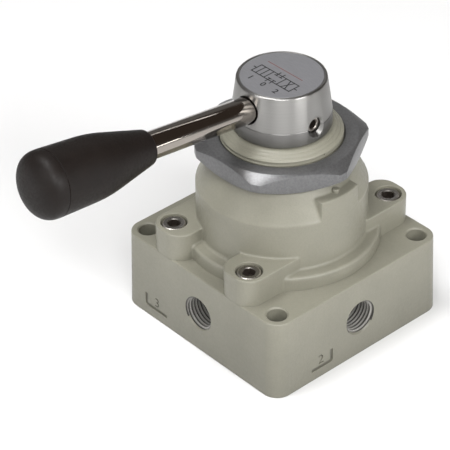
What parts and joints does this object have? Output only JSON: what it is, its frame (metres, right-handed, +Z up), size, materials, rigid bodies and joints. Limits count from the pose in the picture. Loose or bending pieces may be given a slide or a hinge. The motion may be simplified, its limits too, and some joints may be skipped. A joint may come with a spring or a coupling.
{
  "type": "rotary hand lever air control valve",
  "caption": "Rotary hand valve for compressed air: square ported base, domed bonnet with a threaded neck and panel nut, and a turning knob with a lever.",
  "frame": {"origin": "middle of the base's underside", "axes": "+Z up along the stem's axis; the lever points to -Y at rest; the raised pad with the locating pin and port 2 are on the +X side"},
  "size_m": [0.08, 0.1469, 0.1104],
  "materials": {
    "body_paint": "satin warm grey paint on a die casting",
    "seal_rubber": "moulded nitrile rubber",
    "machined_steel": "ground steel",
    "spring_steel": "drawn spring wire",
    "bearing_bronze": "machined bearing bronze and brass",
    "screw_steel": "dark steel with bright worn rims",
    "nut_aluminium": "turned aluminium, matt",
    "knob_aluminium": "satin turned aluminium",
    "plate_aluminium": "grey brushed plate with a printed symbol",
    "rod_chrome": "polished chrome plate",
    "grip_plastic": "moulded black plastic"
  },
  "bodies": {
    "root": {"base_block": "body_paint", "port_seals": "seal_rubber", "seat_plate": "machined_steel", "seat_dowels": "machined_steel", "body_seal": "seal_rubber", "bonnet": "body_paint", "cover_screws": "screw_steel", "detent_ring": "machined_steel", "thrust_washer": "bearing_bronze", "stem_bush": "bearing_bronze", "stem_seal": "seal_rubber", "stop_pin": "machined_steel", "locating_pin": "body_paint", "panel_nut": "nut_aluminium"},
    "lever": {"rotor_disc": "machined_steel", "drive_pins": "machined_steel", "rotor_spring": "spring_steel", "stem": "machined_steel", "detent_spring": "spring_steel", "knob": "knob_aluminium", "knob_set_screw": "screw_steel", "centre_screw": "screw_steel", "name_plate": "plate_aluminium", "lever_rod": "rod_chrome", "grip_insert": "bearing_bronze", "grip": "grip_plastic", "grip_cap": "grip_plastic"},
    "ball_right": {"detent_ball_right": "machined_steel"},
    "ball_left": {"detent_ball_left": "machined_steel"}
  },
  "joints": [
    {"name": "lever_turn", "type": "hinge", "parent": "root", "child": "lever", "pos_m": [0, 0, 0.05], "axis": [0, 0, 1], "range_deg": [-45, 45]},
    {"name": "detent_ball_right_slide", "type": "slide", "parent": "lever", "child": "ball_right", "axis": [1, 0, 0], "range_m": [0, 0.0009], "stiffness_N_per_m": 200, "springref_m": 0.004},
    {"name": "detent_ball_left_slide", "type": "slide", "parent": "lever", "child": "ball_left", "axis": [-1, 0, 0], "range_m": [0, 0.0009], "stiffness_N_per_m": 200, "springref_m": 0.004}
  ],
  "couplings": [
    {"joint": "detent_ball_left_slide", "follows": "detent_ball_right_slide", "ratio": 1}
  ]
}
